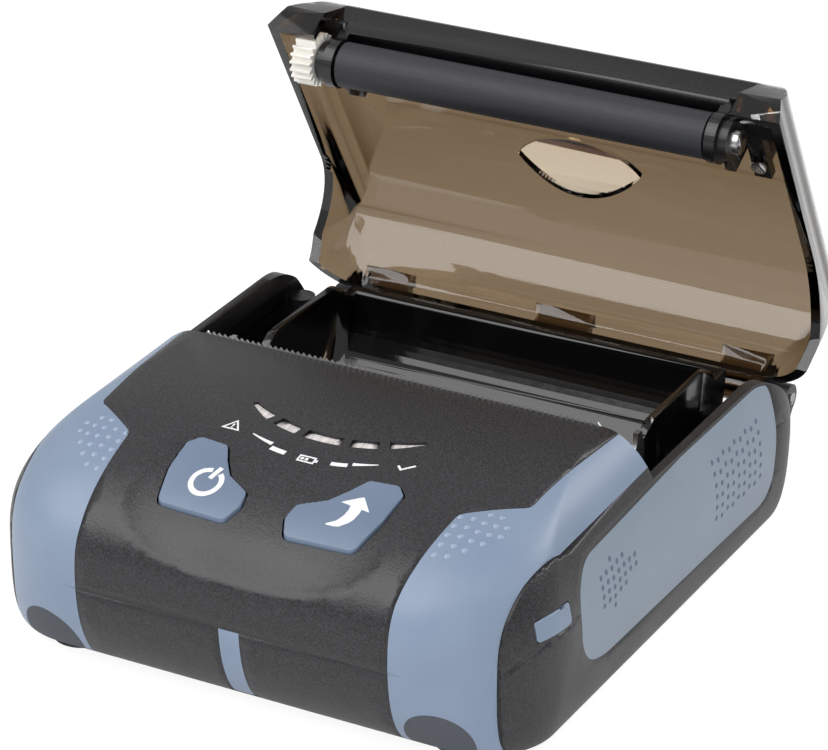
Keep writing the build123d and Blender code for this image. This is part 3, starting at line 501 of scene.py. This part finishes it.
RING_MIDDLE = np.array((-13.6, -58.2))
RING_RADIUS = 2.85
RING_HALF = 0.5
GAP_TURN = math.radians(74)
GAP_HALF = math.radians(20)
turn = np.linspace(GAP_TURN + GAP_HALF, GAP_TURN + 2 * math.pi - GAP_HALF, 40)
ring = RING_MIDDLE + RING_RADIUS * np.column_stack([np.cos(turn), np.sin(turn)])
bar_way = np.array((math.cos(GAP_TURN), math.sin(GAP_TURN)))
bar = along([RING_MIDDLE + 0.9 * bar_way, RING_MIDDLE + 4.0 * bar_way])
printed("power_symbol", [(*ribbon(ring, RING_HALF), False), (*ribbon(bar, 0.46), False)],
        keys["power"], white_ink, "power_key")

shaft = np.array([(12.6, -60.6), (14.6, -60.0), (15.9, -58.4), (16.2, -56.6), (16.0, -55.2)])
shaft_half = np.array([0.12, 0.75, 1.1, 1.15, 1.15])
steps = np.linspace(0, 1, 12)
knots = np.linspace(0, 1, len(shaft))
shaft_line = np.column_stack([np.interp(steps, knots, shaft[:, i]) for i in range(2)])
head = along([(15.85, -55.6), (16.2, -52.9)], 0.4)
head_half = np.linspace(3.1, 0.05, len(head))
printed("feed_symbol", [(*ribbon(shaft_line, np.interp(steps, knots, shaft_half)), False),
                        (*ribbon(head, head_half), False)],
        keys["feed"], white_ink, "feed_key")


# Marks of the panel
# Leader dashes under the arc of lamps, printed in white like the plain signs at their ends: a
# triangle for faults, a battery, and a tick. They are general signs and stand for no words.

def arc_dash(start, end, radius, first, last):
    """A dash on the lamps' arc from one angle to another, its half width going first to last."""
    turn = np.radians(np.linspace(start, end, 10))
    path = ARC_MIDDLE + radius * np.column_stack([np.sin(turn), -np.cos(turn)])
    return (*ribbon(path, np.linspace(first, last, 10)), False)


ARC_MIDDLE = np.array((0.0, -10.1))
dashes = [arc_dash(-21.0, -12.6, 35.2, 0.12, 0.42), arc_dash(-11.7, -6.4, 36.2, 0.55, 0.55),
          arc_dash(8.6, 13.6, 36.2, 0.5, 0.5), arc_dash(15.0, 22.6, 35.8, 0.42, 0.1)]
STROKE = 0.17
SIGN_ROW = -42.0
fault = np.array((-17.4, SIGN_ROW))
triangle = fault + np.array([(-1.6, -1.1), (1.6, -1.1), (0.0, 1.65)])
battery = np.array((0.7, -46.3))
case = battery + np.array([(-1.7, -0.75), (1.5, -0.75), (1.5, 0.75), (-1.7, 0.75)])
tick = np.array((18.6, SIGN_ROW)) + np.array([(-1.4, 0.1), (-0.4, -0.9), (1.6, 1.2)])
signs = [(*ribbon(triangle, STROKE, True), True),
         (*ribbon(along([fault + (0, -0.25), fault + (0, 0.55)]), STROKE), False),
         (*ribbon(along([fault + (-0.17, -0.6), fault + (0.17, -0.6)], 0.2), STROKE), False),
         (*ribbon(case, STROKE, True), True),
         (*ribbon(along([battery + (1.95, -0.35), battery + (1.95, 0.35)]), 0.2), False),
         (*ribbon(along([battery + (-1.0, -0.35), battery + (-1.0, 0.35)]), 0.3), False),
         (*ribbon(along([battery + (-0.1, -0.35), battery + (-0.1, 0.35)]), 0.3), False),
         (*ribbon(along(tick), STROKE + 0.06), False)]
printed("panel_marks", dashes + signs, upper, white_ink, "base")


# Status windows and lamps
# Frosted light guides in an arc, a little below the panel's surface, over five lamps. Their
# faces are finely ribbed, so they look pale and soft.

guide_pc, tree, shader = finish("frosted_polycarbonate", "D8D2D0", 0.3, IOR=1.58)
fine = grain(tree, shader, 0.55, 0.02, (0.25, 0.4), (1, 0.12, 1))[0]
speckle(tree, shader, fine, "C2BCBA", "EAE5E3", 0.35, 0.65)
dress("status_windows", guide_pc)
lamp_epoxy, tree, shader = finish("lamp_epoxy", "E6E4D6", 0.3, IOR=1.5)
grain(tree, shader, 0.4, 0.005, (0.25, 0.35))
dress("status_lamps", lamp_epoxy)


# Tear bar, side plates and other pressed steel
# Stainless strip with a row of cut teeth, and plated sheet plates; both show fine rolling lines.

def rolled_steel(name, colour, low, high):
    """Rolled sheet: fine lines along X, with a faint cloudy plating."""
    material, tree, shader = finish(name, colour, low, Metallic=1.0)
    grain(tree, shader, 0.12, 0.004, (low, high), (0.02, 1, 1))
    return material


tear_steel = rolled_steel("rolled_stainless_steel", "D0D0CE", 0.3, 0.45)
dress("tear_bar", tear_steel, corner=20.0, flat=True)
plate_steel = rolled_steel("zinc_plated_sheet", "A9ACB0", 0.28, 0.45)
for node in ("side_plate_left", "side_plate_right", "battery_contacts"):
    dress(node, plate_steel, corner=30.0)
dress("head_bracket", plate_steel, "head", corner=30.0)
dress("port_socket", plate_steel, corner=30.0)


# Pins, screws, shafts and springs
# Turned and drawn steel, bright, with faint rings round the shafts.

turned_steel, tree, shader = finish("turned_steel", "B4B5B7", 0.25, Metallic=1.0)
grain(tree, shader, 0.15, 0.004, (0.2, 0.36), (1, 0.2, 0.2))
for node, body in {"hinge_pin": "base", "head_pin": "base", "gear_stubs": "base",
                   "board_screws": "base", "case_screws": "base", "motor_shaft": "motor_drive",
                   "platen_shaft": "platen", "frame_screws": "cover"}.items():
    dress(node, turned_steel, body, corner=40.0)

SPRING_SIDES = 10
SPRING_TURNS = 5.5
low, high = (np.array(corner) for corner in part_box("head_springs"))
WIRE_RADIUS = 0.22
wire = WIRE_RADIUS * MM
coil_radius = (high[2] - low[2]) / 2 - wire
way = np.linspace(0, 1, 120)
for number, x in enumerate((low[0] + coil_radius + wire, high[0] - coil_radius - wire)):
    angle = way * SPRING_TURNS * 2 * np.pi
    centre = np.column_stack([x + coil_radius * np.cos(angle),
                              low[1] + wire + way * (high[1] - low[1] - 2 * wire),
                              (low[2] + high[2]) / 2 + coil_radius * np.sin(angle)])
    outward = np.column_stack([np.cos(angle), np.zeros_like(angle), np.sin(angle)])
    turn = np.linspace(0, 2 * np.pi, SPRING_SIDES, endpoint=False)
    tube = (centre[:, None] + wire * (np.cos(turn)[None, :, None] * outward[:, None]
                                      + np.sin(turn)[None, :, None] * np.array((0, 1.0, 0))))
    ring, side = np.meshgrid(np.arange(len(way) - 1), np.arange(SPRING_SIDES), indexing="ij")
    near = ring * SPRING_SIDES + side
    ahead = ring * SPRING_SIDES + (side + 1) % SPRING_SIDES
    quads = np.stack([near, ahead, ahead + SPRING_SIDES, near + SPRING_SIDES], -1).reshape(-1, 4)
    ends = [list(range(SPRING_SIDES))[::-1],
            list(range((len(way) - 1) * SPRING_SIDES, len(way) * SPRING_SIDES))]
    mesh = bpy.data.meshes.new("head_coil_" + str(number))
    mesh.from_pydata(tube.reshape(-1, 3), [], quads.tolist() + ends)
    work = bmesh.new()
    work.from_mesh(mesh)
    bmesh.ops.recalc_face_normals(work, faces=work.faces)
    work.to_mesh(mesh)
    work.free()
    mesh.polygons.foreach_set("use_smooth", np.ones(len(mesh.polygons), bool))
    coil = bpy.data.objects.new("head_coil_" + str(number), mesh)
    bpy.context.scene.collection.objects.link(coil)
    coil.data.materials.append(turned_steel)
    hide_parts("head_springs")
    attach(coil, "head")


# Paper tray and platen frame
# High-gloss black ABS, polished so that the roll slides in the trough. The frame under the
# cover is the same plastic with a plain moulded face.

gloss_black, tree, shader = finish("polished_black_abs", "0B0B0D", 0.08, IOR=1.53)
grain(tree, shader, 1.2, 0.004, (0.05, 0.14))
dress("paper_tray", gloss_black)
plain_black, tree, shader = finish("plain_black_abs", "101012", 0.3, IOR=1.53)
grain(tree, shader, 0.8, 0.01, (0.24, 0.36))
dress("platen_frame", plain_black, "cover")
small_black, tree, shader = finish("small_moulded_black", "18181A", 0.45, IOR=1.53)
grain(tree, shader, 0.4, 0.01, (0.38, 0.5))
for node in ("paper_sensor", "tact_switches"):
    dress(node, small_black)


# Cover and its window
# Smoked see-through polycarbonate, brown-grey, with polished faces. Its wall lets through the
# brown that the photograph shows, and it goes nearly black where the way through is long. The
# lens-shaped window is the same plastic, clear.

def tinted(name, tint, density, roughness):
    """Clear plastic whose body takes up light: tint is the linear colour that it lets pass."""
    material, tree, shader = finish(name, "F4F2EE", roughness[0], IOR=1.58,
                                    Transmission_Weight=1.0)
    grain(tree, shader, 3.0, 0.0015, roughness)
    body = add(tree, "ShaderNodeVolumeAbsorption", {"Color": (*tint, 1.0), "Density": density})
    tree.links.new(body.outputs["Volume"], tree.nodes["Material Output"].inputs["Volume"])
    return material


smoked_pc = tinted("smoked_polycarbonate", (0.34, 0.2, 0.0), 1040.0, (0.02, 0.07))
dress("cover", smoked_pc, "cover")
clear_pc = tinted("clear_polycarbonate", (0.5, 0.3, 0.0), 380.0, (0.02, 0.07))
window = dress("cover_window", clear_pc, "cover")
window.modifiers.clear()
SEAM = 0.05
seam = window.modifiers.new("glue_seam", "DISPLACE")
seam.mid_level = 0.0
seam.strength = -SEAM * MM
kept(window)


# Platen
# A ground rubber sleeve on a steel shaft, in acetal bushings, with an acetal gear.

platen_rubber, tree, shader = finish("ground_black_rubber", "222329", 0.55, IOR=1.52)
broad = grain(tree, shader, 0.25, 0.02, (0.48, 0.62), (0.15, 1, 1))[1]
speckle(tree, shader, broad, "1D1E22", "27282E")
dress("platen_roller", platen_rubber, "platen")
white_acetal, tree, shader = finish("natural_acetal", "EFEDE6", 0.35, IOR=1.48,
                                    Subsurface_Weight=0.1, Subsurface_Scale=0.001)
grain(tree, shader, 0.3, 0.006, (0.3, 0.4))
for node, body in {"platen_gear": "platen", "drive_gear": "drive", "idler_gear": "idler",
                   "motor_pinion": "motor_drive"}.items():
    dress(node, white_acetal, body, corner=25.0)
black_acetal, tree, shader = finish("black_acetal", "1A1A1C", 0.35, IOR=1.48)
grain(tree, shader, 0.3, 0.006, (0.28, 0.4))
dress("platen_bushings", black_acetal, "cover", corner=30.0)


# Print head, heat sink, motor and main board
# A glazed ceramic strip on an aluminium bar, a plated motor can and a coated board.

glazed, tree, shader = finish("glazed_ceramic", "C9B48F", 0.15, IOR=1.6)
grain(tree, shader, 0.5, 0.003, (0.1, 0.2))
dress("print_head", glazed, "head")
aluminium, tree, shader = finish("extruded_aluminium", "C4C6C8", 0.32, Metallic=1.0)
grain(tree, shader, 0.15, 0.005, (0.26, 0.42), (0.02, 1, 1))
dress("heat_sink", aluminium, "head")
dress("stepper_motor", rolled_steel("plated_motor_can", "9FA1A3", 0.25, 0.4))
board_mask, tree, shader = finish("green_solder_mask", "1B5B3A", 0.3, IOR=1.5)
broad = grain(tree, shader, 0.8, 0.01, (0.22, 0.36))[1]
speckle(tree, shader, broad, "17523A", "206644")
dress("main_board", board_mask)


# Battery pack and its latch
# Matt black ABS in the underside; the latch has grip ribs for a thumb.

pack_abs, tree, shader = finish("matt_black_abs", "2A2A2D", 0.5, IOR=1.53)
grain(tree, shader, 0.5, 0.03, (0.42, 0.58))
dress("battery_pack", pack_abs)
dress("battery_latch", pack_abs, "latch")
